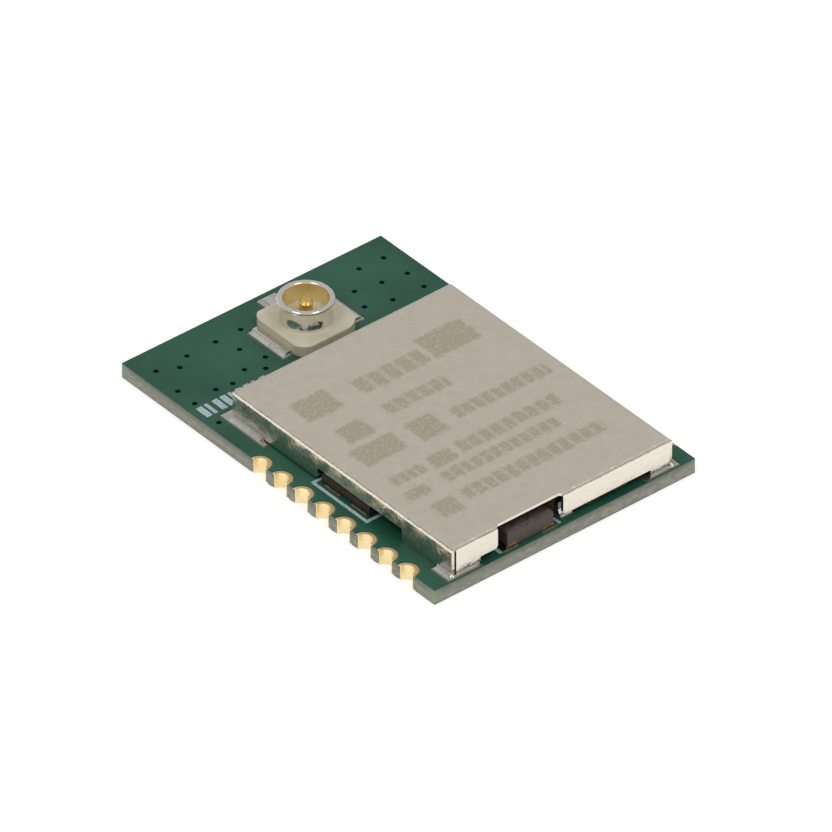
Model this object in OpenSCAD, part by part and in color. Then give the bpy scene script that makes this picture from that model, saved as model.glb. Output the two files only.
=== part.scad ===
// Wi-Fi radio module: a thin circuit board with plated half-hole contacts along both long
// edges, a folded shield can over the radio parts and a miniature coaxial socket.
// The origin is the centre of the board's underside. +Z is up and +Y points to the socket end.

/* [Board] */
// Width across the two rows of edge contacts
board_w = 11.4; // [11:0.1:12.4]
// Length from the near end to the socket end
board_l = 16.5; // [16.4:0.1:18]
// Thickness from the lowest pads to the upper solder mask
board_t = 0.6; // [0.4:0.05:1.2]
// Thickness of a copper land with its plating
land_t = 0.035; // [0.03:0.005:0.05]
// Thickness of each solder mask coat
mask_t = 0.025; // [0.015:0.005:0.03]
// Gap between a land and the solder mask around it
mask_gap = 0.05; // [0.03:0.01:0.07]
// Thickness of the solder under a soldered part
solder_t = 0.03; // [0.02:0.01:0.05]

/* [Printed marks] */
// Thickness of the printed marking ink
ink_t = 0.015; // [0.01:0.005:0.03]
// Width of a printed outline
ink_line = 0.12; // [0.08:0.01:0.16]
// Plain bars printed beside the can
bar_count = 9; // [6:1:9]
// Distance between neighbouring bars
bar_pitch = 0.34; // [0.3:0.01:0.36]
// Width of a wide bar
bar_w = 0.24; // [0.16:0.01:0.26]
// Width of a narrow bar
bar_thin = 0.14; // [0.1:0.01:0.2]
// Length of the bars
bar_l = 0.62; // [0.5:0.02:0.64]
// Distance from the board's left edge to the first bar
bar_side = 0.27; // [0.2:0.01:0.35]
// Distance from the can's far wall to the bars
bar_gap = 0.52; // [0.48:0.01:0.56]
// Gap between the crystal's end and the outline around it
outline_end = 0.1; // [0.08:0.01:0.16]
// Gap between the crystal's side and the outline around it
outline_side = 0.18; // [0.12:0.01:0.2]
// Length of the bracket at each end of the inductor
bracket_l = 0.35; // [0.25:0.05:0.5]

/* [Through holes] */
// Bore of a plated through hole
via_d = 0.2; // [0.15:0.01:0.25]
// Thickness of the copper lining of a through hole
via_wall = 0.03; // [0.02:0.005:0.04]

/* [Edge contacts] */
// Contacts along each long edge
contact_count = 8; // [6:1:8]
// Distance between neighbouring contacts
contact_pitch = 1.1; // [1:0.05:1.15]
// Distance from the board's near end to the first contact
contact_first = 1.45; // [1.2:0.05:1.6]
// Bore of the plated half hole
contact_d = 0.58; // [0.5:0.02:0.64]
// Thickness of the plating in the half hole
contact_wall = 0.04; // [0.03:0.01:0.06]
// Width of the ring around the half hole on the upper face
contact_ring = 0.12; // [0.1:0.01:0.16]
// Reach of the underside pad from the board's edge
contact_pad_l = 0.9; // [0.7:0.05:1.1]
// Width of the underside pad
contact_pad_w = 0.8; // [0.78:0.02:0.86]
// Side of the square ground pad on the underside
ground_pad_s = 4; // [3:0.1:5]

/* [Shield can] */
// Width of the can
can_w = 9.64; // [9.5:0.02:10.2]
// Length of the open strip between the can and the board's socket end
socket_strip = 4.76; // [4.7:0.02:4.9]
// Height of the can from its feet to its roof
can_h = 1.16; // [1.1:0.02:1.4]
// Distance from the board's left edge to the can
can_side = 0.91; // [0.6:0.01:1]
// Distance from the board's near edge to the can
can_near = 0.16; // [0.1:0.01:0.2]
// Thickness of the sheet
sheet_t = 0.12; // [0.1:0.01:0.14]
// Outer radius of the fold along the roof's edges
bend_r = 0.2; // [0.16:0.01:0.24]
// Gap between the side walls and the end walls at each open corner
corner_gap = 0.04; // [0.02:0.01:0.08]
// Step of each side wall's edge behind the end wall's face
corner_back = 0.05; // [0.03:0.01:0.08]
// Height of the gap between the feet
foot_gap = 0.29; // [0.2:0.01:0.35]
// Radius of the rounded sheet corners beside a gap
foot_round = 0.14; // [0.08:0.01:0.18]

/* [Can near wall] */
// Length of the left foot
near_left_foot = 1.22; // [1:0.02:1.4]
// Length of the right foot
near_right_foot = 0.98; // [0.8:0.02:1.2]
// Distance from the can's left face to the notch
notch_x = 1.97; // [1.8:0.01:2.2]
// Width of the notch that opens the wall to its full height
notch_w = 2.85; // [2.6:0.01:3]
// Reach of the notch into the roof
notch_d = 0.14; // [0.14:0.01:0.18]
// Chamfer at the notch's corners in the roof
notch_chamfer = 0.1; // [0.05:0.01:0.12]

/* [Can side walls] */
// Length of the foot at the near corner
side_near_foot = 2.64; // [2.4:0.02:3]
// Length of the foot at the far corner
side_far_foot = 1.7; // [1.4:0.02:2]
// Length of the cut-out beside the near foot
side_cut_l = 4.4; // [4.3:0.02:4.8]
// Height of that cut-out
side_cut_h = 0.49; // [0.48:0.01:0.6]
// Lift of the low stretch between the cut-out and the far foot
side_lift = 0.06; // [0.04:0.01:0.1]
// Length of the middle foot of a plain wall
plain_foot = 1.4; // [1:0.1:1.8]

/* [Can lands] */
// Reach of the soldered lands beyond the can's side walls
can_land_out = 0.23; // [0.15:0.01:0.3]
// Reach of the soldered lands inside the walls
can_land_in = 0.2; // [0.15:0.01:0.3]
// Length of the land at the far corner
far_land_l = 2.3; // [2:0.1:2.6]
// Reach of that land past the can's far wall
far_land_past = 0.33; // [0.2:0.01:0.36]
// Length of the land at the near corner
near_land_l = 0.9; // [0.7:0.1:1.2]
// Distance from a near land to the board's near edge
near_land_edge = 0.09; // [0.07:0.01:0.12]
// Height of the solder fillets on the can
can_fillet = 0.13; // [0.08:0.01:0.18]
// Step from a fillet's toe to the land's edge
fillet_back = 0.05; // [0.02:0.01:0.06]
// Width of the drop of solder at each open near corner
corner_drop_d = 0.3; // [0.24:0.02:0.34]
// Height of that drop
corner_drop_h = 0.1; // [0.06:0.01:0.14]

/* [Coaxial socket] */
// Distance from the board's left edge to the socket's axis
socket_x = 6.13; // [5.8:0.01:6.6]
// Distance from the socket end to the socket's axis
socket_y = 2.37; // [2.35:0.01:2.6]
// Width of the moulded body across the ground tabs
socket_w = 2.7; // [2.5:0.05:2.8]
// Reach of the moulded body from the ring's axis towards the can
socket_near = 1.43; // [1.3:0.01:1.46]
// Reach of the moulded body from the ring's axis towards the socket end
socket_far = 1.29; // [1.25:0.01:1.4]
// Height of the moulded body above the board
socket_h = 0.42; // [0.38:0.01:0.5]
// Corner radius of the moulded body
socket_corner = 0.46; // [0.2:0.01:0.5]
// Radius of the wider corner that marks the body's near right
socket_key = 0.7; // [0.5:0.01:0.8]
// Radius along the moulded body's upper edges
socket_edge = 0.06; // [0.04:0.01:0.1]
// Diameter of the round step around the ring
step_d = 1.9; // [1.88:0.02:2.1]
// Height of that step
step_h = 0.05; // [0.03:0.01:0.08]
// Height of the moulded floor inside the ring, above the board
floor_h = 0.55; // [0.5:0.01:0.65]
// Outer diameter of the ring's rolled rim
rim_d = 2; // [1.96:0.01:2.04]
// Height of the rim's top above the board
rim_h = 1.25; // [1.2:0.01:1.3]
// Height of the rolled rim
rim_band = 0.16; // [0.12:0.01:0.18]
// Outer diameter of the ring at its waist
barrel_d = 1.72; // [1.66:0.01:1.76]
// Wall of the ring at its waist
barrel_wall = 0.08; // [0.06:0.01:0.1]
// Flare of the ring from its waist to its foot
flare = 0.07; // [0.04:0.01:0.08]
// Diameter of the centre contact
post_d = 0.48; // [0.4:0.01:0.5]
// Height of the centre contact's tip above the board
post_h = 1.1; // [1:0.01:1.15]
// Bevel around the centre contact's tip
post_tip = 0.08; // [0.04:0.01:0.12]
// Thickness of the soldered tabs
tab_t = 0.1; // [0.08:0.01:0.12]
// Reach of each tab beyond the moulded body
tab_out = 0.27; // [0.2:0.01:0.3]
// Width of each ground tab
tab_w = 1.8; // [1.6:0.05:1.85]
// Width of the signal tab
signal_w = 0.4; // [0.3:0.02:0.5]
// Gap in the ring that lets the signal tab out
signal_gap = 0.9; // [0.8:0.02:1]
// Reach of each ground land beyond the moulded body
socket_land_out = 0.43; // [0.36:0.01:0.5]
// Gap between the ring and each ground land
socket_land_gap = 0.1; // [0.06:0.01:0.14]
// Length of each ground land
socket_land_l = 1.9; // [1.88:0.02:2.1]
// Reach of the signal land beyond the moulded body
signal_land_out = 0.86; // [0.75:0.01:0.88]
// Reach of the signal land under the moulded body
signal_land_in = 0.25; // [0.2:0.01:0.3]
// Width of the signal land
signal_land_w = 0.8; // [0.7:0.02:0.9]

/* [Crystal] */
// Width of the crystal's ceramic base
crystal_w = 2; // [1.8:0.05:2.1]
// Length of the crystal's ceramic base
crystal_l = 2.5; // [2.3:0.05:2.55]
// Height of the ceramic base
crystal_h = 0.34; // [0.3:0.01:0.35]
// Thickness of the gold seal on the base
seal_t = 0.03; // [0.02:0.005:0.04]
// Thickness of the metal lid
lid_t = 0.05; // [0.04:0.005:0.06]
// Step from the base's edge to the lid
lid_inset = 0.12; // [0.08:0.01:0.2]
// Step back from the can's left face to the crystal
crystal_back = 0.02; // [0:0.01:0.05]
// Distance from the can's near face to the crystal's centre
crystal_y = 5.6; // [5.5:0.01:5.7]
// Width of the gold seal's rim
seal_rim = 0.2; // [0.14:0.01:0.25]
// Length of each of the crystal's four pads
crystal_pad_l = 0.75; // [0.6:0.05:0.8]
// Width of each pad
crystal_pad_w = 0.7; // [0.6:0.05:0.8]
// Step from the crystal's end to its pads
crystal_pad_in = 0.18; // [0:0.02:0.2]

/* [Notch inductor] */
// Length of the inductor
inductor_l = 2; // [1.8:0.05:2.2]
// Depth of the inductor
inductor_w = 1.6; // [1.2:0.05:1.8]
// Height of the inductor
inductor_h = 0.68; // [0.6:0.01:0.8]
// Radius along the inductor's upper edges
inductor_edge = 0.14; // [0.05:0.01:0.15]
// Length of each terminal under the inductor
inductor_end = 0.45; // [0.3:0.01:0.6]
// Thickness of each terminal
inductor_end_t = 0.12; // [0.08:0.01:0.16]
// Step back from the can's near face to the inductor
inductor_back = 0.01; // [0:0.01:0.05]

/* [Parts under the can] */
// Side of the square radio chip
radio_s = 5; // [4.6:0.1:5.2]
// Height of the radio chip
radio_h = 0.8; // [0.7:0.01:0.85]
// Distance between the radio chip's contacts
radio_pitch = 0.5; // [0.4:0.05:0.5]
// Contacts along each side of the radio chip
radio_side_count = 9; // [7:1:9]
// Side of the square pad under the radio chip
radio_pad = 3.2; // [2.8:0.1:3.4]
// Length of the memory chip
memory_l = 2.8; // [2.6:0.1:3]
// Width of the memory chip
memory_w = 2; // [1.8:0.1:2.2]
// Height of the memory chip
memory_h = 0.55; // [0.45:0.01:0.8]
// Contacts along each short side of the memory chip
memory_side_count = 4; // [3:1:4]
// Distance between the memory chip's contacts
memory_pitch = 0.5; // [0.4:0.05:0.5]
// Length of a chip contact
lead_l = 0.3; // [0.2:0.01:0.35]
// Width of a chip contact
lead_w = 0.22; // [0.16:0.01:0.26]
// Thickness of a chip contact
lead_t = 0.12; // [0.08:0.01:0.2]
// Length of the antenna filter
filter_l = 2; // [1.8:0.05:2.2]
// Width of the antenna filter
filter_w = 1.25; // [1.1:0.05:1.3]
// Height of the antenna filter
filter_h = 0.8; // [0.6:0.05:0.85]
// Height of the solder at the filter's ends
filter_rise = 0.3; // [0.2:0.02:0.4]
// Length of a small chip part
chip_l = 1; // [0.9:0.01:1.1]
// Width of a small chip part
chip_w = 0.5; // [0.4:0.01:0.55]
// Height of a small capacitor
capacitor_h = 0.5; // [0.4:0.01:0.6]
// Height of a small resistor
resistor_h = 0.32; // [0.25:0.01:0.4]
// Length of the metal end on a chip part
chip_end = 0.22; // [0.18:0.01:0.3]
// Reach of a land past a chip part's end
chip_land_out = 0.18; // [0.12:0.01:0.2]
// Step from the solder's toe to the end of a part's land
toe_back = 0.02; // [0.01:0.01:0.03]

/* [Hidden] */
$fn = 48;

// Overshoot of every cut past the face it opens
cut = 0.5;

// Heights of the board's layers
core_low = land_t;
core_high = board_t - mask_t;
land_high = core_high + land_t;
part_low = land_high + solder_t;

// Height of the top of the socket's step above the lands
step_top = socket_h - (land_high - board_t) + step_h;

// The board's left and near edges, and its far edge
left = -board_w / 2;
near = -board_l / 2;
far = board_l / 2;

// The can's near left corner, and its length
can_x = left + can_side;
can_y = near + can_near;
can_l = board_l - can_near - socket_strip;

// The middle foot of a plain wall, centred between the corner feet
function plain_foot_start(run) = (run - plain_foot) / 2;

// Through holes in the open strip beside the socket, each as [distance from the side edge,
// distance from the socket end]
left_vias = [[0.6, 1.1], [1.35, 1.45], [1.95, 1.1], [0.45, 2.45], [3.2, 1.1], [3.55, 1.95],
             [4.3, 1.1], [3.95, 2.85], [2.95, 2.95], [3.55, 3.35], [2.15, 3.3],
             [1.5, 3.2], [0.45, 3.35], [0.4, 4.7]];
right_vias = [[0.75, 1.05], [1.8, 1], [0.7, 2.25], [1.7, 2.1], [2.75, 1.9], [0.75, 3.2],
              [2.05, 3.1], [3.05, 2.8]];

// Centres of the parts under the can, from its near left corner, with a turn in degrees.
// Parts by the near wall keep their distance from it; the others have their share of the can.
function share(x, y, turn) = [x * can_w, y * can_l, turn];
radio_at = share(0.622, 0.566, 0);
memory_at = share(0.207, 0.855, 0);
filter_at = share(0.539, 0.894, 0);
capacitors_at = [[notch_x + notch_w + 0.33, 0.86, 90], share(0.664, 0.082, 90),
                 share(0.788, 0.082, 90), share(0.301, 0.242, 90), share(0.436, 0.242, 90),
                 share(0.571, 0.242, 90), share(0.705, 0.242, 90), share(0.296, 0.665, 90),
                 share(0.84, 0.924, 0)];
resistors_at = [share(0.84, 0.242, 90), share(0.84, 0.846, 0), share(0.285, 0.518, 90),
                [1.5, 2.3, 0], [1.2, 1.2, 0]];

inductor_at = [notch_x + notch_w / 2, inductor_back + inductor_w / 2, 0];
crystal_at = [crystal_back + crystal_w / 2, crystal_y, 0];

// Moves a part of the can, or a part under it, to its place on the board
module at_can(z = 0) {
    translate([can_x, can_y, z]) children();
}

// Moves a part to its centre and turns it there
module at_place(place, z) {
    at_can(z) translate([place[0], place[1], 0]) rotate([0, 0, place[2]]) children();
}

// Moves a part to the socket's axis
module at_socket(z = 0) {
    translate([left + socket_x, far - socket_y, z]) children();
}

// A box centred on the origin in plan, standing on z = 0
module block(l, w, h) {
    translate([-l / 2, -w / 2, 0]) cube([l, w, h]);
}

// The sliver that rounding takes off a square corner at the origin, for metal at +x +y
module corner_sliver(r) {
    difference() {
        square(r);
        translate([r, r]) circle(r);
    }
}

// The end view of a box with its two upper edges rounded
module arch(w, h, r) {
    square([w, h - r]);
    translate([r, 0]) square([w - 2 * r, h]);
    for (x = [r, w - r]) translate([x, h - r]) circle(r);
}

// A box with all four upper edges rounded, its near left corner at the origin
module pillow(w, l, h, r) {
    intersection() {
        translate([0, l, 0]) rotate([90, 0, 0]) linear_extrude(l) arch(w, h, r);
        rotate([90, 0, 90]) linear_extrude(w) arch(l, h, r);
    }
}

// ---- Board ----

module board_plan() {
    translate([left, near]) square([board_w, board_l]);
}

// Puts a shape at each through hole
module at_vias() {
    for (v = left_vias) translate([left + v[0], far - v[1]]) children();
    for (v = right_vias) translate([-left - v[0], far - v[1]]) children();
}

// Puts a shape at each edge contact of one side: side is -1 for left and 1 for right
module at_contacts(side) {
    for (i = [0 : contact_count - 1])
        translate([side * board_w / 2, near + contact_first + i * contact_pitch])
            mirror([side > 0 ? 1 : 0, 0, 0]) children();
}

module board_core() {
    color("#8c8778")
    translate([0, 0, core_low]) linear_extrude(core_high - core_low)
    difference() {
        board_plan();
        at_vias() circle(via_d / 2 + via_wall);
        for (side = [-1, 1]) at_contacts(side) circle(contact_d / 2 + contact_wall);
    }
}

module via_barrels() {
    color("#b8863c")
    translate([0, 0, core_low]) linear_extrude(core_high - core_low)
    at_vias() difference() {
        circle(via_d / 2 + via_wall);
        circle(via_d / 2);
    }
}

// One plated half hole with its ring and underside pad, for a board that lies at +x
module edge_contact() {
    ring_r = contact_d / 2 + contact_ring;
    difference() {
        union() {
            cylinder(r = contact_d / 2 + contact_wall, h = land_high);
            translate([0, 0, core_high]) cylinder(r = ring_r, h = land_t);
            translate([0, -contact_pad_w / 2, 0]) cube([contact_pad_l, contact_pad_w, land_t]);
        }
        translate([0, 0, -cut]) cylinder(d = contact_d, h = board_t + 2 * cut);
        translate([-2 * ring_r, -2 * ring_r, -cut])
            cube([2 * ring_r, 4 * ring_r, board_t + 2 * cut]);
    }
}

module left_contacts() {
    color("#e6cf8f") at_contacts(-1) edge_contact();
}

module right_contacts() {
    color("#e6cf8f") at_contacts(1) edge_contact();
}

module ground_pad() {
    color("#e6cf8f") block(ground_pad_s, ground_pad_s, land_t);
}

// ---- Lands in plan, each widened all round by grow ----

module plate(x0, y0, x1, y1, grow) {
    translate([x0 - grow, y0 - grow]) square([x1 - x0 + 2 * grow, y1 - y0 + 2 * grow]);
}

// The can's lands on its left side, in the can's own frame
module can_side_lands(grow) {
    low = near_land_edge - can_near;
    plate(-can_land_out, can_l + far_land_past - far_land_l, sheet_t + can_land_in,
          can_l + far_land_past, grow);
    plate(-can_land_out, low, sheet_t + can_land_in, low + near_land_l, grow);
    plate(-can_land_out, low, near_left_foot, sheet_t + can_land_in, grow);
}

// A land under the middle foot of a plain wall that runs along y at x = 0
module can_middle_land(run, grow) {
    plate(-can_land_out, plain_foot_start(run), sheet_t + can_land_in,
          plain_foot_start(run) + plain_foot, grow);
}

module can_land_plan(grow = 0) {
    translate([can_x, can_y]) {
        can_side_lands(grow);
        translate([can_w, 0]) mirror([1, 0]) {
            can_side_lands(grow);
            can_middle_land(can_l, grow);
        }
        translate([0, can_l]) rotate(-90) can_middle_land(can_w, grow);
    }
}

module socket_land_plan(grow = 0) {
    inner = barrel_d / 2 + socket_land_gap;
    outer = socket_w / 2 + socket_land_out;
    translate([left + socket_x, far - socket_y]) {
        for (side = [0, 1]) mirror([side, 0])
            plate(inner, -socket_land_l / 2, outer, socket_land_l / 2, grow);
        plate(-signal_land_w / 2, socket_far - signal_land_in, signal_land_w / 2,
              socket_far + signal_land_out, grow);
    }
}

// Two lands for a part with a metal end at each side
module end_lands(l, w, end, grow) {
    for (side = [0, 1]) mirror([side, 0])
        plate(l / 2 - end, -w / 2, l / 2 + chip_land_out, w / 2, grow);
}

// The crystal's four corner pads
module crystal_pads(grow = 0) {
    end = crystal_l / 2 - crystal_pad_in;
    for (sx = [0, 1]) for (sy = [0, 1]) mirror([sx, 0]) mirror([0, sy])
        plate(crystal_w / 2 - crystal_pad_w, end - crystal_pad_l, crystal_w / 2, end, grow);
}

// Contacts along a chip's sides, in plan
module side_leads(reach, pitch, count) {
    for (i = [0 : count - 1])
        translate([reach - lead_l, (i - (count - 1) / 2) * pitch - lead_w / 2])
            square([lead_l, lead_w]);
}

module radio_leads() {
    for (turn = [0 : 90 : 270]) rotate(turn)
        side_leads(radio_s / 2, radio_pitch, radio_side_count);
    square(radio_pad, center = true);
}

module memory_leads() {
    for (turn = [0, 180]) rotate(turn)
        side_leads(memory_l / 2, memory_pitch, memory_side_count);
}

module place_plan(place) {
    translate([can_x + place[0], can_y + place[1]]) rotate(place[2]) children();
}

module part_land_plan() {
    place_plan(radio_at) radio_leads();
    place_plan(memory_at) memory_leads();
    place_plan(filter_at) end_lands(filter_l, filter_w, chip_end, 0);
    place_plan(crystal_at) crystal_pads();
    place_plan(inductor_at) end_lands(inductor_l, inductor_w, inductor_end, 0);
    for (p = capacitors_at) place_plan(p) end_lands(chip_l, chip_w, chip_end, 0);
    for (p = resistors_at) place_plan(p) end_lands(chip_l, chip_w, chip_end, 0);
}

// Openings in the upper mask: chips with many contacts have one opening each
module part_mask_openings() {
    place_plan(radio_at) square(radio_s + 2 * mask_gap, center = true);
    place_plan(memory_at)
        square([memory_l + 2 * mask_gap, memory_w + 2 * mask_gap], center = true);
    place_plan(filter_at) end_lands(filter_l, filter_w, chip_end, mask_gap);
    place_plan(crystal_at) crystal_pads(mask_gap);
    place_plan(inductor_at) end_lands(inductor_l, inductor_w, inductor_end, mask_gap);
    for (p = capacitors_at) place_plan(p) end_lands(chip_l, chip_w, chip_end, mask_gap);
    for (p = resistors_at) place_plan(p) end_lands(chip_l, chip_w, chip_end, mask_gap);
}

module shield_lands() {
    color("#c9c6bd") translate([0, 0, core_high]) linear_extrude(land_t) can_land_plan();
}

module socket_lands() {
    color("#c9c6bd") translate([0, 0, core_high]) linear_extrude(land_t) socket_land_plan();
}

module part_lands() {
    color("#c9a45a") translate([0, 0, core_high]) linear_extrude(land_t) part_land_plan();
}

module solder_mask_top() {
    color("#3c6654")
    translate([0, 0, core_high]) linear_extrude(mask_t)
    difference() {
        board_plan();
        at_vias() circle(via_d / 2);
        for (side = [-1, 1]) at_contacts(side)
            circle(contact_d / 2 + contact_ring + mask_gap);
        can_land_plan(mask_gap);
        socket_land_plan(mask_gap);
        part_mask_openings();
    }
}

module solder_mask_bottom() {
    color("#3c6654")
    translate([0, 0, core_low - mask_t]) linear_extrude(mask_t)
    difference() {
        board_plan();
        at_vias() circle(via_d / 2);
        for (side = [-1, 1]) at_contacts(side)
            plate(-cut, -contact_pad_w / 2, contact_pad_l, contact_pad_w / 2, mask_gap);
        square(ground_pad_s + 2 * mask_gap, center = true);
    }
}

// ---- Printed marks ----

// The outline printed around the crystal
module crystal_outline() {
    w = crystal_w + 2 * outline_side;
    l = crystal_l + 2 * outline_end;
    difference() {
        square([w + 2 * ink_line, l + 2 * ink_line], center = true);
        square([w, l], center = true);
    }
}

// A row of plain bars beside the can: every third pair starts with a narrow one
module mark_bars() {
    for (i = [0 : bar_count - 1])
        translate([i * bar_pitch, 0]) square([i % 3 == 1 ? bar_thin : bar_w, bar_l]);
}

module inductor_bracket() {
    translate([inductor_l / 2 + chip_land_out + mask_gap, -inductor_w / 2])
        square([ink_line, bracket_l]);
}

module silkscreen_marks() {
    color("#a8bcc0")
    translate([0, 0, board_t]) linear_extrude(ink_t) {
        place_plan(crystal_at) crystal_outline();
        place_plan(inductor_at) for (side = [0, 1]) mirror([side, 0]) inductor_bracket();
        translate([left + bar_side, can_y + can_l + bar_gap]) mark_bars();
    }
}

// ---- Shield can, in its own frame: feet at z = 0, near left corner at the origin ----

// An opening under a wall from start to end, with the metal's corner rounded where asked
module wall_gap(start, end, h, round_start, round_end) {
    translate([start, -cut]) square([end - start, h + cut]);
    if (round_start) translate([start, 0]) mirror([1, 0]) corner_sliver(foot_round);
    if (round_end) translate([end, 0]) corner_sliver(foot_round);
}

module near_wall_openings() {
    wall_gap(near_left_foot, notch_x + cut, foot_gap, true, false);
    translate([notch_x, foot_gap]) mirror([1, 0]) corner_sliver(foot_round);
    translate([notch_x, -cut]) square([notch_w, can_h + 2 * cut]);
    translate([notch_x + notch_w, foot_gap]) corner_sliver(foot_round);
    wall_gap(notch_x + notch_w - cut, can_w - near_right_foot, foot_gap, false, false);
}

// The notch's reach into the roof, in plan, with chamfered corners
module notch_plan() {
    polygon([[notch_x, -cut], [notch_x + notch_w, -cut], [notch_x + notch_w, sheet_t / 2],
             [notch_x + notch_w - notch_chamfer, notch_d], [notch_x + notch_chamfer, notch_d],
             [notch_x, sheet_t / 2]]);
}

module left_wall_openings() {
    cut_end = side_near_foot + side_cut_l;
    wall_gap(side_near_foot, cut_end, side_cut_h, true, false);
    translate([cut_end, side_lift]) corner_sliver(foot_round);
    translate([cut_end - cut, -cut])
        square([can_l - side_far_foot - cut_end + cut, side_lift + cut]);
}

// A plain wall with a foot at each end and one in the middle
module plain_wall_openings(run, end_foot) {
    middle = plain_foot_start(run);
    wall_gap(end_foot, middle, foot_gap, true, true);
    wall_gap(middle + plain_foot, run - end_foot, foot_gap, true, true);
}

// Pushes an opening drawn in the x-z plane through a wall that lies at y = 0
module through_wall() {
    translate([0, sheet_t + cut / 4, 0]) rotate([90, 0, 0])
        linear_extrude(sheet_t + cut) children();
}

// The open slit at a corner, up to just under the rounded roof corner
module slit() {
    h = cut + can_h - sheet_t;
    translate([-cut, -cut, -cut]) cube([cut + sheet_t + corner_gap, cut + corner_back, h]);
    translate([sheet_t, -cut, -cut]) cube([corner_gap, cut + sheet_t + corner_gap, h]);
}

module can_sheet() {
    difference() {
        pillow(can_w, can_l, can_h, bend_r);
        translate([sheet_t, sheet_t, -cut])
            pillow(can_w - 2 * sheet_t, can_l - 2 * sheet_t, can_h - sheet_t + cut,
                   bend_r - sheet_t);
        for (sx = [0, 1]) for (sy = [0, 1])
            translate([sx * can_w, sy * can_l, 0]) mirror([sx, 0, 0]) mirror([0, sy, 0]) slit();
        intersection() {
            through_wall() near_wall_openings();
            translate([-cut, -cut, -cut]) cube([can_w + 2 * cut, can_l, can_h + cut - sheet_t]);
        }
        linear_extrude(can_h + cut) notch_plan();
        mirror([1, -1, 0]) through_wall() left_wall_openings();
        translate([can_w, 0, 0]) mirror([1, 0, 0]) mirror([1, -1, 0]) through_wall()
            plain_wall_openings(can_l, side_far_foot);
        translate([0, can_l, 0]) mirror([0, 1, 0]) through_wall()
            plain_wall_openings(can_w, near_left_foot);
    }
}

module shield_can() {
    color("#aca597") at_can(land_high) can_sheet();
}

// A long fillet of solder against a wall at x = 0, running from y0 to y1 on the side x < 0
module long_fillet(y0, y1, reach) {
    translate([0, y1, 0]) rotate([90, 0, 0]) linear_extrude(y1 - y0)
        polygon([[-reach, 0], [0, 0], [0, can_fillet], [-reach / 3, can_fillet / 3]]);
}

// A low dome of solder: h high and d across
module solder_dome(d, h) {
    ball = (d * d / 4 + h * h) / (2 * h);
    intersection() {
        translate([0, 0, h - ball]) sphere(ball);
        block(d, d, h);
    }
}

// The drop of solder at the foot of an open near corner
module corner_drop(reach) {
    difference() {
        translate([sheet_t / 6, corner_drop_d / 5, 0])
            solder_dome(corner_drop_d, corner_drop_h);
        can_sheet();
        long_fillet(corner_back, near_land_l, reach);
    }
}

module shield_solder() {
    low = near_land_edge - can_near;
    reach = can_land_out - fillet_back;
    foot = plain_foot_start(can_l);
    far_foot = plain_foot_start(can_w);
    color("#d6d6d2") at_can(land_high) {
        for (side = [0, 1]) translate([side * can_w, 0, 0]) mirror([side, 0, 0]) {
            long_fillet(can_l - side_far_foot + fillet_back, can_l - corner_back, reach);
            long_fillet(corner_back, low + near_land_l - fillet_back, reach);
            corner_drop(reach);
        }
        translate([can_w, 0, 0]) mirror([1, 0, 0]) long_fillet(foot, foot + plain_foot, reach);
        translate([0, can_l, 0]) rotate([0, 0, -90])
            long_fillet(far_foot, far_foot + plain_foot, reach);
    }
}

// ---- Coaxial socket, on its own axis ----

// The ring's section from its axis outwards: a wall with a round rim, hollowed to a waist
// outside and flared at the foot that stands on the body's step
module ring_section() {
    waist_r = barrel_d / 2;
    bore_r = waist_r - barrel_wall;
    rim_round = rim_band / 2;
    rim_z = rim_h - (land_high - board_t) - rim_round;
    reach = (rim_z - rim_round - step_top) / 2;
    hollow_r = (reach * reach + flare * flare) / (2 * flare);
    translate([bore_r, solder_t]) square([barrel_wall, rim_z - solder_t]);
    difference() {
        translate([bore_r, step_top]) square([barrel_wall + flare, rim_z - step_top]);
        translate([waist_r + hollow_r, step_top + reach]) circle(hollow_r);
    }
    translate([bore_r + rim_round, rim_z - rim_round])
        square([rim_d / 2 - bore_r - rim_band, rim_band]);
    for (r = [bore_r + rim_round, rim_d / 2 - rim_round])
        translate([r, rim_z]) circle(rim_round);
}

// The ring and its two ground tabs, one stamped piece; z = 0 is the top of the lands
module shell_piece() {
    difference() {
        rotate_extrude() ring_section();
        translate([-signal_gap / 2, 0, 0])
            cube([signal_gap, barrel_d, solder_t + tab_t + signal_gap / 3]);
    }
    for (side = [0, 1]) mirror([side, 0, 0]) difference() {
        translate([0, -tab_w / 2, solder_t]) cube([socket_w / 2 + tab_out, tab_w, tab_t]);
        cylinder(r = barrel_d / 2 - barrel_wall, h = 2 * (solder_t + tab_t), center = true);
        translate([0, 0, -cut]) cube([signal_gap / 2, barrel_d, 2 * cut]);
    }
}

// The centre contact: a domed post with its signal tab
module pin_piece() {
    post_r = post_d / 2;
    high = post_h - (land_high - board_t) - post_tip;
    translate([0, 0, solder_t]) cylinder(r = post_r, h = high - solder_t);
    translate([0, 0, high]) cylinder(r1 = post_r, r2 = post_r - post_tip, h = post_tip);
    translate([-signal_w / 2, 0, solder_t])
        cube([signal_w, socket_far + tab_out, tab_t]);
}

// The moulded body's outline, with one wider corner
module socket_outline() {
    difference() {
        translate([-socket_w / 2, -socket_near]) square([socket_w, socket_near + socket_far]);
        translate([-socket_w / 2, -socket_near]) corner_sliver(socket_corner);
        translate([socket_w / 2, -socket_near]) mirror([1, 0]) corner_sliver(socket_key);
        for (side = [-1, 1]) translate([side * socket_w / 2, socket_far])
            mirror([side > 0 ? 1 : 0, 0]) mirror([0, 1]) corner_sliver(socket_corner);
    }
}

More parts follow.
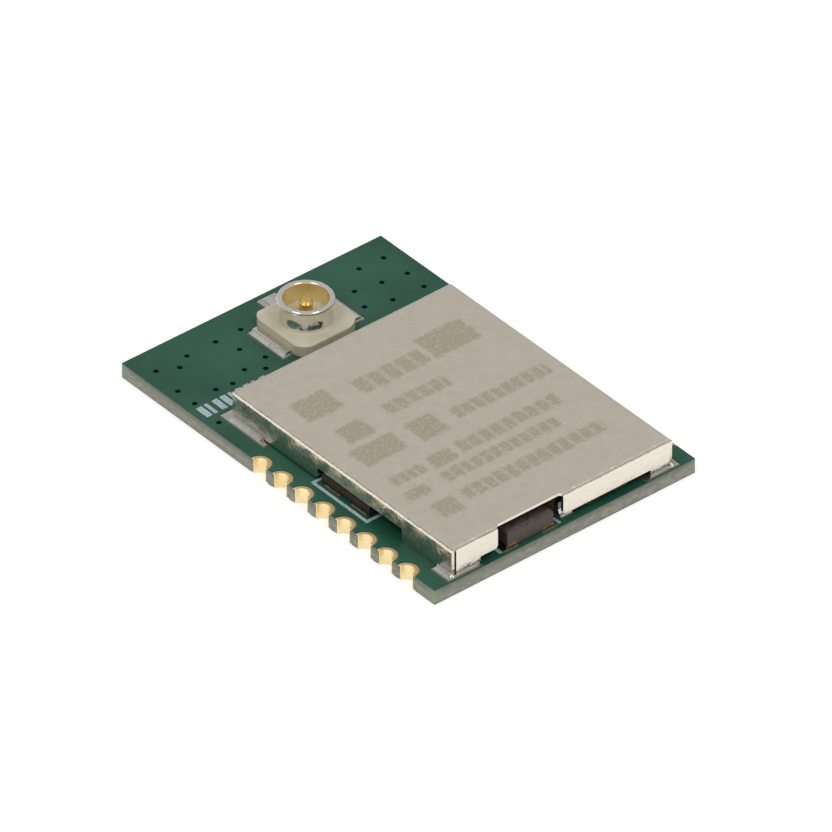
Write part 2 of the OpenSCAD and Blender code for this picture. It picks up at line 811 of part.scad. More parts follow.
module socket_body() {
    rise = land_high - board_t;
    color("#bcb59c")
    at_socket(land_high)
    difference() {
        union() {
            intersection() {
                linear_extrude(socket_h) socket_outline();
                translate([-socket_w / 2, -socket_near, 0])
                    pillow(socket_w, socket_near + socket_far, socket_h - rise, socket_edge);
            }
            cylinder(d = step_d, h = step_top);
            cylinder(r = barrel_d / 2 - barrel_wall / 2, h = floor_h - rise);
        }
        shell_piece();
        pin_piece();
    }
}

module socket_shell() {
    color("#c8c6c0") at_socket(land_high) shell_piece();
}

module socket_pin() {
    color("#c8983a") at_socket(land_high) pin_piece();
}

// Solder under and around one tab that leaves the body's face along +x
module tab_solder(face, width, land_out) {
    end = face + tab_out;
    translate([face, -width / 2, 0]) cube([tab_out, width, solder_t]);
    translate([0, width / 2, 0]) rotate([90, 0, 0]) linear_extrude(width)
        polygon([[end, 0], [face + land_out - toe_back, 0], [end + tab_t / 2, tab_t / 2],
                 [end, solder_t + tab_t * 0.8]]);
}

module socket_solder() {
    color("#d6d6d2") at_socket(land_high) {
        for (turn = [0, 180]) rotate([0, 0, turn])
            tab_solder(socket_w / 2, tab_w, socket_land_out);
        rotate([0, 0, 90]) tab_solder(socket_far, signal_w, signal_land_out);
    }
}

// ---- Crystal ----

module crystal_base() {
    color("#3a3028") at_place(crystal_at, part_low) block(crystal_w, crystal_l, crystal_h);
}

module crystal_seal() {
    w = crystal_w - lid_inset;
    l = crystal_l - lid_inset;
    color("#b08a4a") at_place(crystal_at, part_low + crystal_h) difference() {
        block(w, l, seal_t);
        translate([0, 0, -cut]) block(w - 2 * seal_rim, l - 2 * seal_rim, seal_t + 2 * cut);
    }
}

module crystal_lid() {
    color("#c9c6bd") at_place(crystal_at, part_low + crystal_h + seal_t)
        block(crystal_w - 2 * lid_inset, crystal_l - 2 * lid_inset, lid_t);
}

// ---- Inductor in the can's notch ----

module inductor_body() {
    color("#4a403c") at_place(inductor_at, part_low) difference() {
        translate([-inductor_l / 2, -inductor_w / 2, 0])
            pillow(inductor_l, inductor_w, inductor_h, inductor_edge);
        inductor_end_blocks();
    }
}

module inductor_end_blocks() {
    for (side = [0, 1]) mirror([side, 0, 0])
        translate([inductor_l / 2 - inductor_end, -inductor_w / 2, 0])
            cube([inductor_end, inductor_w, inductor_end_t]);
}

module inductor_terminals() {
    color("#b5713c") at_place(inductor_at, part_low) inductor_end_blocks();
}

// ---- Chips with flush contacts ----

module radio_chip_body() {
    color("#2b2b2d") at_place(radio_at, part_low) difference() {
        block(radio_s, radio_s, radio_h);
        translate([0, 0, -cut]) linear_extrude(cut + lead_t) radio_leads();
    }
}

module radio_chip_contacts() {
    color("#c9c6bd") at_place(radio_at, part_low) linear_extrude(lead_t) radio_leads();
}

module memory_chip_body() {
    color("#2b2b2d") at_place(memory_at, part_low) difference() {
        block(memory_l, memory_w, memory_h);
        translate([0, 0, -cut]) linear_extrude(cut + lead_t) memory_leads();
    }
}

module memory_chip_contacts() {
    color("#c9c6bd") at_place(memory_at, part_low) linear_extrude(lead_t) memory_leads();
}

// ---- Parts with a metal end at each side ----

module chip_middle(l, w, h) {
    block(l - 2 * chip_end, w, h);
}

module chip_ends(l, w, h) {
    for (side = [0, 1]) mirror([side, 0, 0])
        translate([l / 2 - chip_end, -w / 2, 0]) cube([chip_end, w, h]);
}

module antenna_filter_body() {
    color("#8f9aa6") at_place(filter_at, part_low) chip_middle(filter_l, filter_w, filter_h);
}

module antenna_filter_ends() {
    color("#c9c6bd") at_place(filter_at, part_low) chip_ends(filter_l, filter_w, filter_h);
}

module capacitor_bodies() {
    color("#9c7a58")
    for (p = capacitors_at) at_place(p, part_low) chip_middle(chip_l, chip_w, capacitor_h);
}

module capacitor_ends() {
    color("#c9c6bd")
    for (p = capacitors_at) at_place(p, part_low) chip_ends(chip_l, chip_w, capacitor_h);
}

module resistor_bodies() {
    color("#222224")
    for (p = resistors_at) at_place(p, part_low) chip_middle(chip_l, chip_w, resistor_h);
}

module resistor_ends() {
    color("#c9c6bd")
    for (p = resistors_at) at_place(p, part_low) chip_ends(chip_l, chip_w, resistor_h);
}

// Solder under both ends of a part, with a fillet up each end face
module end_solder(l, w, end, rise) {
    for (side = [0, 1]) mirror([side, 0, 0]) {
        translate([l / 2 - end, -w / 2, 0]) cube([end, w, solder_t]);
        translate([l / 2, w / 2, 0]) rotate([90, 0, 0]) linear_extrude(w)
            polygon([[0, 0], [chip_land_out - toe_back, 0], [chip_land_out / 3, rise / 3],
                     [0, rise]]);
    }
}

module part_solder() {
    color("#d6d6d2") {
        at_place(radio_at, land_high) linear_extrude(solder_t) radio_leads();
        at_place(memory_at, land_high) linear_extrude(solder_t) memory_leads();
        at_place(crystal_at, land_high) linear_extrude(solder_t) crystal_pads();
        at_place(filter_at, land_high) end_solder(filter_l, filter_w, chip_end, filter_rise);
        at_place(inductor_at, land_high)
            end_solder(inductor_l, inductor_w, inductor_end, solder_t + inductor_end_t);
        for (p = capacitors_at) at_place(p, land_high)
            end_solder(chip_l, chip_w, chip_end, capacitor_h / 2);
        for (p = resistors_at) at_place(p, land_high)
            end_solder(chip_l, chip_w, chip_end, resistor_h / 2);
    }
}

board_core();
via_barrels();
left_contacts();
right_contacts();
ground_pad();
solder_mask_top();
solder_mask_bottom();
silkscreen_marks();
shield_lands();
shield_can();
shield_solder();
socket_lands();
socket_solder();
socket_body();
socket_shell();
socket_pin();
crystal_base();
crystal_seal();
crystal_lid();
inductor_body();
inductor_terminals();
radio_chip_body();
radio_chip_contacts();
memory_chip_body();
memory_chip_contacts();
antenna_filter_body();
antenna_filter_ends();
capacitor_bodies();
capacitor_ends();
resistor_bodies();
resistor_ends();
part_lands();
part_solder();
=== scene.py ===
# %% [markdown]
# # Dressing a small wireless radio module
# The real object is a circuit board about as big as a thumbnail. A folded metal can covers its
# radio parts, gold half holes line both long edges, and a tiny coaxial socket stands in the open
# strip at one end. The exact solids come from the CAD frame, so this lesson is mostly about
# finishes: what each surface is made of, and how a few procedural nodes can say so.
# %% Load the frame
import bpy, math
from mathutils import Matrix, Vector


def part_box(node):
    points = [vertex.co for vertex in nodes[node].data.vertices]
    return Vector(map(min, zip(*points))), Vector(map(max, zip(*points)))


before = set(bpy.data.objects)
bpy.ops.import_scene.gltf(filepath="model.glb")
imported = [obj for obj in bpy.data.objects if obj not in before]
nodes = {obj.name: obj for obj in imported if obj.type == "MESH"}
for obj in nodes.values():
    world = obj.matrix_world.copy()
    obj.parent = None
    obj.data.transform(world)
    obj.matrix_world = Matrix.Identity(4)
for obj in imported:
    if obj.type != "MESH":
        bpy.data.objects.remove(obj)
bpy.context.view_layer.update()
MM = 0.001

# %% [markdown]
# ## The camera
# A small part looks its own size through a long lens from far away, which keeps parallel edges
# nearly parallel. So the camera stands half a metre off and has a lens of almost 700 mm. It is placed
# from three plain facts: the point that it looks at, its direction round the module and its height
# angle. `to_track_quat` then turns it, since a camera looks along its own -Z with +Y up.
# %% Camera
LOOK_AT = Vector((0.027, -0.424, 0.6)) * MM
TURN, HEIGHT = math.radians(-39.853), math.radians(36.843)
DISTANCE = 539.4
LENS, SENSOR = 692.9, 36
towards_camera = Vector((math.sin(TURN) * math.cos(HEIGHT), -math.cos(TURN) * math.cos(HEIGHT),
                         math.sin(HEIGHT)))
camera = bpy.data.objects.new("camera", bpy.data.cameras.new("camera"))
bpy.context.scene.collection.objects.link(camera)
camera.location = LOOK_AT + towards_camera * DISTANCE * MM
camera.rotation_euler = towards_camera.to_track_quat("Z", "Y").to_euler()
camera.data.sensor_width = SENSOR
camera.data.lens = LENS
camera.data.clip_start, camera.data.clip_end = 0.01, 20
bpy.context.scene.camera = camera
print("camera is", round(camera.location.length / MM), "mm from the board's centre")

# %% [markdown]
# ## Colours as numbers
# Blender's sockets want linear light, while a colour picked by eye is usually an sRGB value from
# 0 to 255. One short function turns the second into the first, so that every finish below can be
# written in the everyday numbers.
# %% Colour helper
def rgb(red, green, blue):
    channels = [v / 255 for v in (red, green, blue)]
    return tuple(c / 12.92 if c <= 0.04045 else ((c + 0.055) / 1.055) ** 2.4 for c in channels)


print("mid grey 128 is", round(rgb(128, 128, 128)[0], 3), "in linear light")

# %% [markdown]
# ## Material helpers
# A finish is a Principled shader with a few textures plugged in. These helpers keep each one to a
# few lines: `finish` makes the shader, `grain` makes a noise on Object coordinates (metres, so a
# grain of 0.1 mm has a scale near 10 000), `spread` stretches a 0-1 value to another range,
# `tint` mixes two colours and `relief` turns a height into a bump. Constant values always go on
# the shader's own sockets, where an exporter can read them.
# %% Material helpers
def finish(name, colour, roughness, metallic=0.0):
    material = bpy.data.materials.new(name)
    material.use_nodes = True
    shader = material.node_tree.nodes["Principled BSDF"]
    shader.inputs["Base Color"].default_value = (*colour, 1)
    shader.inputs["Roughness"].default_value = roughness
    shader.inputs["Metallic"].default_value = metallic
    return material, material.node_tree, shader


def place(tree, scale=(1, 1, 1), centre=(0, 0, 0)):
    coords = tree.nodes.new("ShaderNodeTexCoord")
    mapping = tree.nodes.new("ShaderNodeMapping")
    mapping.inputs["Location"].default_value = [-c * s for c, s in zip(centre, scale)]
    mapping.inputs["Scale"].default_value = scale
    tree.links.new(coords.outputs["Object"], mapping.inputs["Vector"])
    return mapping.outputs["Vector"]


def grain(tree, scale, detail=4.0, rough=0.5, stretch=(1, 1, 1)):
    texture = tree.nodes.new("ShaderNodeTexNoise")
    texture.inputs["Scale"].default_value = scale
    texture.inputs["Detail"].default_value = detail
    texture.inputs["Roughness"].default_value = rough
    tree.links.new(place(tree, stretch), texture.inputs["Vector"])
    return texture.outputs["Fac"]


def spread(tree, value, low, high, start=0.35, end=0.65):
    ranged = tree.nodes.new("ShaderNodeMapRange")
    for socket, number in zip(("From Min", "From Max", "To Min", "To Max"),
                              (start, end, low, high)):
        ranged.inputs[socket].default_value = number
    tree.links.new(value, ranged.inputs["Value"])
    return ranged.outputs["Result"]


def tint(tree, amount, first, second):
    mixer = tree.nodes.new("ShaderNodeMix")
    mixer.data_type = "RGBA"
    for socket, colour in (("A", first), ("B", second)):
        here = [s for s in mixer.inputs if s.name == socket and s.type == "RGBA"][0]
        if isinstance(colour, tuple):
            here.default_value = (*colour, 1)
        else:
            tree.links.new(colour, here)
    tree.links.new(amount, mixer.inputs["Factor"])
    return [s for s in mixer.outputs if s.type == "RGBA"][0]


def sums(tree, operation, first, second=0.5):
    maths = tree.nodes.new("ShaderNodeMath")
    maths.operation = operation
    for socket, value in zip(maths.inputs, (first, second)):
        if isinstance(value, (int, float)):
            socket.default_value = value
        else:
            tree.links.new(value, socket)
    return maths.outputs["Value"]


def relief(tree, shader, height, depth, strength=0.5, before=None):
    bump = tree.nodes.new("ShaderNodeBump")
    bump.inputs["Distance"].default_value = depth
    bump.inputs["Strength"].default_value = strength
    tree.links.new(height, bump.inputs["Height"])
    if before:
        tree.links.new(before, bump.inputs["Normal"])
    tree.links.new(bump.outputs["Normal"], shader.inputs["Normal"])
    return bump.outputs["Normal"]


def wear(node_names, material):
    for name in node_names.split():
        mesh = nodes[name].data
        mesh.materials.clear()
        mesh.materials.append(material)
    print(material.name, "is on", node_names)


print("the frame has", len(nodes), "CAD nodes to dress")

# %% [markdown]
# ## Solder mask
# The green coat is a thin glossy lacquer over copper. Its colour drifts a little where copper
# lies under it, its surface sags softly, and fine dust breaks up the gloss.
# %% Solder mask
mask, tree, shader = finish("green_solder_mask", rgb(38, 88, 71), 0.3)
shader.inputs["Specular IOR Level"].default_value = 0.3
drift = grain(tree, 420, 3)
speck = grain(tree, 9000, 2)
tree.links.new(tint(tree, spread(tree, drift, 0, 1), rgb(33, 82, 66), rgb(44, 97, 79)),
               shader.inputs["Base Color"])
tree.links.new(spread(tree, speck, 0.25, 0.38), shader.inputs["Roughness"])
relief(tree, shader, grain(tree, 1800, 3), 0.012 * MM, 0.35)
wear("solder_mask_top solder_mask_bottom", mask)

# %% [markdown]
# The through holes are covered by the mask, which sags into each one. So their linings get a smoother
# coat of the same green instead of bare metal. Its darker tone is painted shade: the shade that falls
# in each deep, narrow hole.
# %% Mask in the through holes
# painted shade: these darker greens stand for the shade inside the holes, not a different coat
hole_coat_painted_shade, tree, shader = finish("mask_in_holes_painted_shade", rgb(20, 56, 42), 0.25)
tree.links.new(tint(tree, spread(tree, grain(tree, 6000, 2), 0, 1), rgb(15, 46, 34),
                    rgb(28, 68, 52)), shader.inputs["Base Color"])
relief(tree, shader, grain(tree, 7000, 2), 0.006 * MM, 0.4)
wear("via_barrels", hole_coat_painted_shade)

# %% [markdown]
# ## Laminate
# A routed edge shows the board's inside: layers of glass cloth in pale resin. Noise stretched
# far along the board and squeezed in height gives those layers, and a finer noise gives the
# broken fibres that the router leaves. The edge is greener just under the mask, and at the
# corners, where light passes through from both sides. How near a point is to a corner is the
# product of its distances from the board's middle, so two Object coordinates are enough.
# %% Laminate
board_low, board_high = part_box("board_core")
laminate, tree, shader = finish("glass_laminate", rgb(172, 168, 152), 0.55)
coords = tree.nodes.new("ShaderNodeSeparateXYZ")
tree.links.new(place(tree), coords.inputs["Vector"])
layers = grain(tree, 260, 3, stretch=(1, 1, 30))
fibres = grain(tree, 4200, 4, stretch=(1, 1, 2.4))
cloth = tint(tree, spread(tree, layers, 0, 1), rgb(164, 160, 146), rgb(146, 152, 134))
routed = tint(tree, spread(tree, fibres, 0, 0.7, 0.42, 0.66), cloth, rgb(196, 194, 186))
near_top = spread(tree, coords.outputs["Z"], 0, 0.75, board_high[2] - 0.28 * MM, board_high[2])
greened = tint(tree, near_top, routed, rgb(92, 112, 92))
corner = sums(tree, "MULTIPLY", sums(tree, "ABSOLUTE", coords.outputs["X"]),
              sums(tree, "ABSOLUTE", coords.outputs["Y"]))
at_corner = spread(tree, corner, 0, 0.75, board_high[0] * board_high[1] * 0.93,
                   board_high[0] * board_high[1])
tree.links.new(tint(tree, at_corner, greened, rgb(150, 182, 146)), shader.inputs["Base Color"])
shader.inputs["Subsurface Weight"].default_value = 0.2
shader.inputs["Subsurface Radius"].default_value = (0.1 * MM, 0.16 * MM, 0.1 * MM)
shader.inputs["Subsurface Scale"].default_value = 1.0
relief(tree, shader, fibres, 0.02 * MM, 0.6)
wear("board_core", laminate)

# %% [markdown]
# ## Gold plating
# Immersion gold is a very thin film on nickel, so it is matt and slightly uneven. Two soft
# noises, one in the colour and one in the roughness, are enough to show that. The half holes
# look cream where they mirror the bright table.
# %% Gold plating
gold, tree, shader = finish("immersion_gold", rgb(244, 222, 172), 0.3, 1.0)
patina = grain(tree, 1500, 4)
tree.links.new(tint(tree, spread(tree, patina, 0, 1), rgb(240, 214, 158), rgb(247, 229, 186)),
               shader.inputs["Base Color"])
tree.links.new(spread(tree, grain(tree, 6000, 3), 0.24, 0.36), shader.inputs["Roughness"])
relief(tree, shader, grain(tree, 8000, 2), 0.002 * MM, 0.4)
wear("left_contacts right_contacts ground_pad part_lands", gold)

# %% [markdown]
# ## Printed marks
# The pale ink is screen printed: a chalky film with tiny pinholes.
# %% Printed marks
ink, tree, shader = finish("pale_marking_ink", rgb(176, 198, 203), 0.7)
pin = grain(tree, 14000, 2)
tree.links.new(tint(tree, spread(tree, pin, 0, 1, 0.3, 0.5), rgb(140, 168, 170),
                    rgb(182, 204, 210)), shader.inputs["Base Color"])
relief(tree, shader, pin, 0.004 * MM, 0.5)
wear("silkscreen_marks", ink)

# %% [markdown]
# ## Can metal with etched fields
# The can is folded from matt nickel silver. Its roof carries laser-etched fields, here plain
# bars and blank panels. They could be modelled, but etching is only a few micrometres deep, so
# it is drawn in the material. One short function makes a soft-edged rectangle from two Object
# coordinates, and the strongest of all the rectangles is the mask. The noise that frays its
# edges comes with the metal below.
# %% Etched fields
can_low, can_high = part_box("shield_can")
SOFT_EDGE = 0.06
# Millimetres from the can's near-left corner: x, y, width, depth and, for bars, their pitch.
BARS = [(3.25, 8.5, 3.0, 0.85, 0.62), (3.2, 7.06, 2.75, 0.62, 0.5), (4.8, 5.42, 4.2, 0.6, 0.44),
        (3.72, 3.88, 4.45, 0.62, 0.5), (2.3, 2.93, 5.0, 0.58, 0.42), (2.2, 1.76, 6.2, 0.64, 0.47),
        (0.78, 3.86, 1.45, 0.52, 0.36)]
PANELS = [(6.45, 8.5, 2.0, 1.3), (2.5, 3.76, 1.0, 0.72), (0.66, 2.9, 0.95, 0.52),
          (0.96, 1.5, 0.88, 0.85), (3.12, 5.2, 1.15, 1.15), (0.75, 5.3, 1.8, 1.05),
          (0.85, 8.45, 1.5, 1.2), (1.15, 6.65, 1.1, 0.95)]


def inside(tree, value, low, high):
    """1 where the value, in metres, lies between two places in millimetres."""
    centre, half = (low + high) / 2, (high - low) / 2
    away = sums(tree, "ABSOLUTE", sums(tree, "SUBTRACT", value, centre * MM))
    return spread(tree, away, 1, 0, (half - SOFT_EDGE) * MM, (half + SOFT_EDGE) * MM)


def bars(tree, value, start, pitch):
    """1 on each bar and 0.25 between them, with the first bar at the start."""
    steps = sums(tree, "MULTIPLY", sums(tree, "SUBTRACT", value, start * MM), 1 / (pitch * MM))
    away = sums(tree, "ABSOLUTE", sums(tree, "SUBTRACT", sums(tree, "FRACT", steps), 0.5))
    return spread(tree, away, 1, 0.25, 0.3, 0.46)


def etched_fields(tree, roof_x, roof_y):
    total = None
    for x, y, width, depth, *pitch in PANELS + BARS:
        field = sums(tree, "MULTIPLY", inside(tree, roof_x, x, x + width),
                     inside(tree, roof_y, y, y + depth))
        if pitch:
            field = sums(tree, "MULTIPLY", field, bars(tree, roof_x, x, pitch[0]))
        total = field if total is None else sums(tree, "MAXIMUM", total, field)
    return total


print(len(BARS), "rows of bars and", len(PANELS), "blank panels for a roof",
      [round((high - low) / MM, 2) for low, high in zip(can_low[:2], can_high[:2])], "mm wide")


# %% [markdown]
# Folded walls lean out a little and are never quite flat. A bump made from the height itself
# tilts the mirror image as that lean does, and a blotchy bump breaks it up, so the border
# between the table and the board is ragged in the walls. On the roof, fine noise added to the
# coordinates frays the etched edges as a laser does, and a second noise leaves bright flecks.
# %% Can metal
FRAY = 0.34 * MM
ROOF_SKIN = (-0.02 * MM, -0.005 * MM)
ETCH_ROUGHNESS, ETCH_HEIGHT = 0.2, 3.0
WALL_LEAN, WALL_BLOTCH, SURFACE_GRAIN = 0.1, 0.03 * MM, 0.004 * MM
can_metal, tree, shader = finish("matt_nickel_silver", rgb(226, 218, 204), 0.25, 1.0)
coords = tree.nodes.new("ShaderNodeSeparateXYZ")
tree.links.new(place(tree, centre=(can_low[0], can_low[1], can_high[2])), coords.inputs["Vector"])
fray = sums(tree, "MULTIPLY", sums(tree, "SUBTRACT", grain(tree, 7000, 3), 0.5), FRAY)
roof_x = sums(tree, "ADD", coords.outputs["X"], fray)
roof_y = sums(tree, "ADD", coords.outputs["Y"], fray)
on_roof = spread(tree, coords.outputs["Z"], 0, 1, *ROOF_SKIN)
etched = sums(tree, "MULTIPLY", etched_fields(tree, roof_x, roof_y), on_roof)
rolled = grain(tree, 2600, 4, 0.6)
flecks = spread(tree, grain(tree, 9000, 3), 0, 1, 0.52, 0.66)
plate = tint(tree, spread(tree, rolled, 0, 1), rgb(227, 219, 206), rgb(233, 226, 214))
scorched = tint(tree, flecks, rgb(205, 197, 177), rgb(226, 218, 200))
tree.links.new(tint(tree, etched, plate, scorched), shader.inputs["Base Color"])
tree.links.new(sums(tree, "ADD", spread(tree, rolled, 0.22, 0.28),
                    sums(tree, "MULTIPLY", etched, ETCH_ROUGHNESS)), shader.inputs["Roughness"])
engraved = sums(tree, "MULTIPLY", sums(tree, "MULTIPLY", etched, ETCH_HEIGHT),
                grain(tree, 8000, 2))
grainy = relief(tree, shader, sums(tree, "ADD", grain(tree, 12000, 3), engraved),
                SURFACE_GRAIN, 0.6)
on_wall = sums(tree, "SUBTRACT", 1.0, on_roof)
blotches = sums(tree, "MULTIPLY", grain(tree, 2600, 3), on_wall)
wavy = relief(tree, shader, blotches, WALL_BLOTCH, 1.0, grainy)
relief(tree, shader, sums(tree, "MULTIPLY", coords.outputs["Z"], on_wall), WALL_LEAN, 1.0, wavy)
wear("shield_can", can_metal)

# %% [markdown]
# ## Solder and tinned lands
# Solder freezes with a bright, slightly wrinkled skin. One noise drives its colour, roughness
# and bump together, because a wrinkle changes all three.
# %% Solder
solder, tree, shader = finish("bright_solder", rgb(215, 216, 214), 0.2, 1.0)
skin = grain(tree, 4200, 3)
tree.links.new(tint(tree, spread(tree, skin, 0, 1), rgb(200, 201, 200), rgb(226, 227, 226)),
               shader.inputs["Base Color"])
tree.links.new(spread(tree, skin, 0.14, 0.3), shader.inputs["Roughness"])
relief(tree, shader, skin, 0.02 * MM, 0.5)
wear("shield_solder socket_solder part_solder", solder)

# %% [markdown]
# The same tin in a coat too thin to flow is flatter and duller, so the lands get a rougher
# surface with less colour in it.
# %% Tinned lands
tinned, tree, shader = finish("tinned_copper", rgb(205, 203, 198), 0.35, 1.0)
tree.links.new(spread(tree, grain(tree, 5000, 3), 0.28, 0.45), shader.inputs["Roughness"])
relief(tree, shader, grain(tree, 7000, 3), 0.006 * MM, 0.5)
wear("shield_lands socket_lands", tinned)

# %% [markdown]
# ## The coaxial socket
# Its body is moulded in a tan, glass-filled plastic: a soft drift in the colour, a fine grain
# and a little light let into the surface.
# %% Socket moulding
moulding, tree, shader = finish("tan_moulding", rgb(212, 206, 182), 0.45)
flow = grain(tree, 900, 4, 0.6)
tree.links.new(tint(tree, spread(tree, flow, 0, 1), rgb(204, 197, 170), rgb(219, 214, 196)),
               shader.inputs["Base Color"])
shader.inputs["Subsurface Weight"].default_value = 0.1
shader.inputs["Subsurface Radius"].default_value = (0.12 * MM, 0.1 * MM, 0.07 * MM)
shader.inputs["Subsurface Scale"].default_value = 1.0
relief(tree, shader, grain(tree, 9000, 3), 0.004 * MM, 0.5)
wear("socket_body", moulding)

# %% [markdown]
# The ring is drawn from copper alloy with a bright nickel skin outside and gold inside. Both
# are one piece of metal, so one mask on the distance from the ring's axis tells them apart.
# The axis is the middle of the stamping's box, because its two tabs reach equally far out.
# %% Socket ring
GILT_EDGE = (0.785 * MM, 0.82 * MM)
ring_low, ring_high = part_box("socket_shell")
axis = ((ring_low[0] + ring_high[0]) / 2, (ring_low[1] + ring_high[1]) / 2, 0)
ring_metal, tree, shader = finish("nickel_ring_gilt_inside", rgb(228, 225, 220), 0.1, 1.0)
flat = tree.nodes.new("ShaderNodeVectorMath")
flat.operation = "LENGTH"
tree.links.new(place(tree, (1, 1, 0), axis), flat.inputs[0])
gilt = spread(tree, flat.outputs["Value"], 1, 0, *GILT_EDGE)
tree.links.new(tint(tree, gilt, rgb(228, 225, 220), rgb(246, 228, 180)),
               shader.inputs["Base Color"])
tree.links.new(spread(tree, gilt, 0.1, 0.38, 0, 1), shader.inputs["Roughness"])
relief(tree, shader, grain(tree, 2400, 3), 0.004 * MM, 0.4)
wear("socket_shell", ring_metal)

# %% [markdown]
# The centre contact is plain gold over its whole length, thicker than the board's and so
# deeper in colour.
# %% Centre contact
contact_gold, tree, shader = finish("contact_gold", rgb(240, 200, 116), 0.25, 1.0)
tree.links.new(tint(tree, spread(tree, grain(tree, 3000, 3), 0, 1), rgb(232, 188, 100),
                    rgb(246, 212, 136)), shader.inputs["Base Color"])
relief(tree, shader, grain(tree, 9000, 2), 0.003 * MM, 0.4)
wear("socket_pin", contact_gold)

# %% [markdown]
# ## Parts seen through the can's openings
# The crystal is a dark ceramic box with a gold seal under a metal lid. The inductor in the notch
# is pressed ferrite powder with bare copper under its ends. The chips and small parts inside are
# ordinary black moulding, tin and fired ceramic.
# %% Small parts
SPECKLE_DEPTH = 0.006 * MM


def speckled(name, dark, light, roughness, size, metallic=0.0):
    material, tree, shader = finish(name, light, roughness, metallic)
    pattern = grain(tree, 1 / (size * MM), 4, 0.6)
    tree.links.new(tint(tree, spread(tree, pattern, 0, 1), dark, light),
                   shader.inputs["Base Color"])
    tree.links.new(spread(tree, pattern, roughness * 0.85, min(1, roughness * 1.2)),
                   shader.inputs["Roughness"])
    relief(tree, shader, pattern, SPECKLE_DEPTH, 0.5)
    return material


print("speckled finishes can be made")

# %% [markdown]
# With that one function each part needs a single line: a dark and a light tone, the roughness,
# the size of the speckle in millimetres and, for metals, a last number.
# %% Finishes of the small parts
wear("crystal_base", speckled("dark_ceramic", rgb(38, 32, 26), rgb(62, 53, 43), 0.5, 0.12))
wear("crystal_seal", speckled("gold_seal", rgb(214, 178, 112), rgb(240, 208, 148), 0.45, 0.2,
                              0.7))
wear("crystal_lid", speckled("lid_metal", rgb(176, 172, 162), rgb(200, 196, 186), 0.3, 0.3, 1.0))
wear("inductor_body", speckled("pressed_ferrite", rgb(66, 56, 52), rgb(92, 80, 75), 0.5, 0.15))
wear("inductor_terminals", speckled("bare_copper", rgb(176, 104, 66), rgb(208, 138, 94), 0.35,
                                    0.2, 1.0))
wear("radio_chip_body memory_chip_body",
     speckled("black_moulding", rgb(26, 26, 28), rgb(42, 42, 44), 0.6, 0.08))
wear("radio_chip_contacts memory_chip_contacts antenna_filter_ends capacitor_ends resistor_ends",
     speckled("plated_tin", rgb(190, 189, 184), rgb(214, 213, 208), 0.3, 0.15, 1.0))
wear("antenna_filter_body", speckled("blue_grey_ceramic", rgb(118, 130, 142),
                                     rgb(142, 153, 163), 0.5, 0.2))
wear("capacitor_bodies", speckled("fired_ceramic", rgb(142, 112, 78), rgb(164, 134, 98), 0.5,
                                  0.15))
wear("resistor_bodies", speckled("resistor_coat", rgb(24, 24, 26), rgb(40, 40, 42), 0.4, 0.12))

# %% [markdown]
# ## Table and light
# The module lies on a plain white table. The table's own glow reaches only the camera and
# mirrors, by a Light Path node, so it can be white without extra light on the object, while its
# matt part still takes the shadow.
# %% Table
TABLE_SIZE, TABLE_DROP, TABLE_GLOW = 3, 0.002 * MM, 0.5
bpy.ops.mesh.primitive_plane_add(size=TABLE_SIZE, location=(0, 0, -TABLE_DROP))
table = bpy.context.object
table.name = "table"
table_top, tree, shader = finish("white_table", (0.8, 0.8, 0.8), 0.9)
paths = tree.nodes.new("ShaderNodeLightPath")
seen = sums(tree, "MAXIMUM", paths.outputs["Is Camera Ray"],
            sums(tree, "MAXIMUM", paths.outputs["Is Glossy Ray"],
                 paths.outputs["Is Transmission Ray"]))
glow = tree.nodes.new("ShaderNodeEmission")
both = tree.nodes.new("ShaderNodeAddShader")
tree.links.new(sums(tree, "MULTIPLY", seen, TABLE_GLOW), glow.inputs["Strength"])
output = tree.nodes["Material Output"]
tree.links.new(shader.outputs["BSDF"], both.inputs[0])
tree.links.new(glow.outputs["Emission"], both.inputs[1])
tree.links.new(both.outputs["Shader"], output.inputs["Surface"])
table.data.materials.append(table_top)
print("the table is", TABLE_SIZE, "m wide")

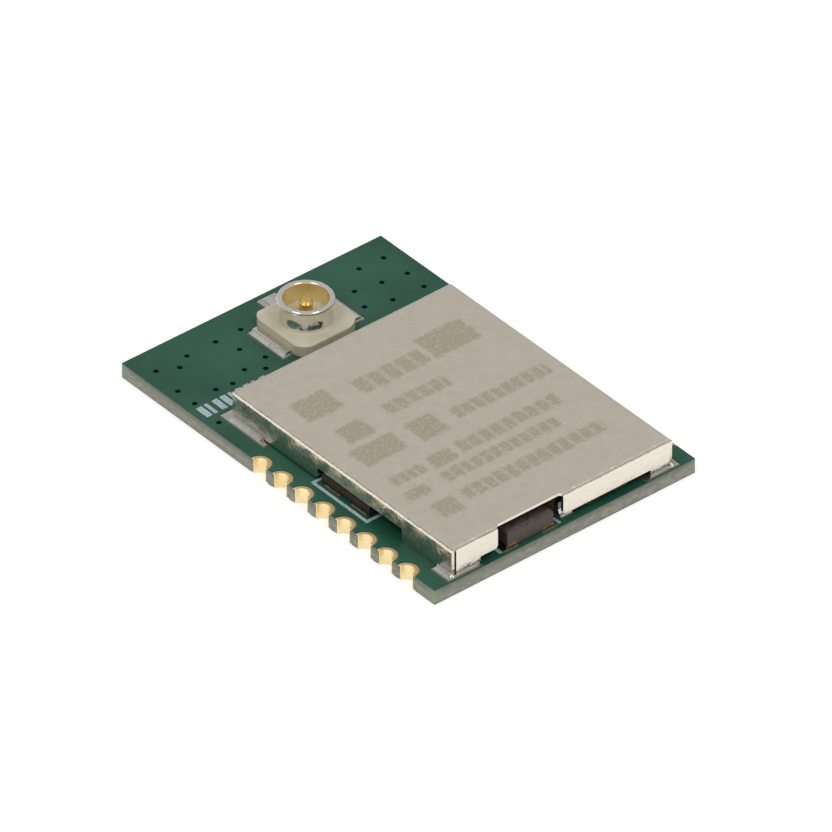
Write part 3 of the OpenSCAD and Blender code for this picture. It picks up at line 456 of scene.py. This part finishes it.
# %% [markdown]
# The sky is a soft grey dome with a dim band round the horizon, as a room has, which bright
# metal mirrors as a darker line. Below the horizon it is white like the table, so no mirror
# sees the table's end.
# %% Sky
world = bpy.data.worlds.new("soft_dome")
bpy.context.scene.world = world
world.use_nodes = True
tree = world.node_tree
sky = tree.nodes["Background"]
coords = tree.nodes.new("ShaderNodeTexCoord")
split = tree.nodes.new("ShaderNodeSeparateXYZ")
tree.links.new(coords.outputs["Generated"], split.inputs["Vector"])
haze = tint(tree, spread(tree, split.outputs["Z"], 0, 1, 0.1, 0.3), (0.16, 0.14, 0.12),
            (0.56, 0.55, 0.53))
dome = tint(tree, spread(tree, split.outputs["Z"], 0, 1, -0.02, -0.01), (1.0, 1.0, 1.0), haze)
tree.links.new(dome, sky.inputs["Color"])
sky.inputs["Strength"].default_value = 1.0
print("the sky has", len(tree.nodes), "nodes")

# %% [markdown]
# Two small soft boxes, left and right of the camera and above it, put small highlights on the
# ring. Each is set by its direction from the module: sideways, forward and up.
# %% Soft boxes
BOX_SIDE, BOX_FORWARD, BOX_HEIGHT = 0.405, 0.276, 0.872
BOX_DISTANCE, BOX_SIZE, BOX_WATTS = 0.5, 0.15, 0.35
SIDE = Vector((math.cos(TURN), math.sin(TURN), 0))
AHEAD = Vector((math.sin(TURN), -math.cos(TURN), 0))


def soft_box(name, sideways, forward, height, size, watts):
    lamp = bpy.data.lights.new(name, "AREA")
    lamp.shape, lamp.size, lamp.energy = "SQUARE", size, watts
    box = bpy.data.objects.new(name, lamp)
    bpy.context.scene.collection.objects.link(box)
    direction = (SIDE * sideways + AHEAD * forward + Vector((0, 0, height))).normalized()
    box.location = direction * BOX_DISTANCE
    box.rotation_euler = direction.to_track_quat("Z", "Y").to_euler()
    return box


for name, sideways in (("right_box", BOX_SIDE), ("left_box", -BOX_SIDE)):
    box = soft_box(name, sideways, BOX_FORWARD, BOX_HEIGHT, BOX_SIZE, BOX_WATTS)
    print(name, "is", round(box.location.length, 2), "m away")

bpy.context.scene.view_settings.view_transform = "Standard"
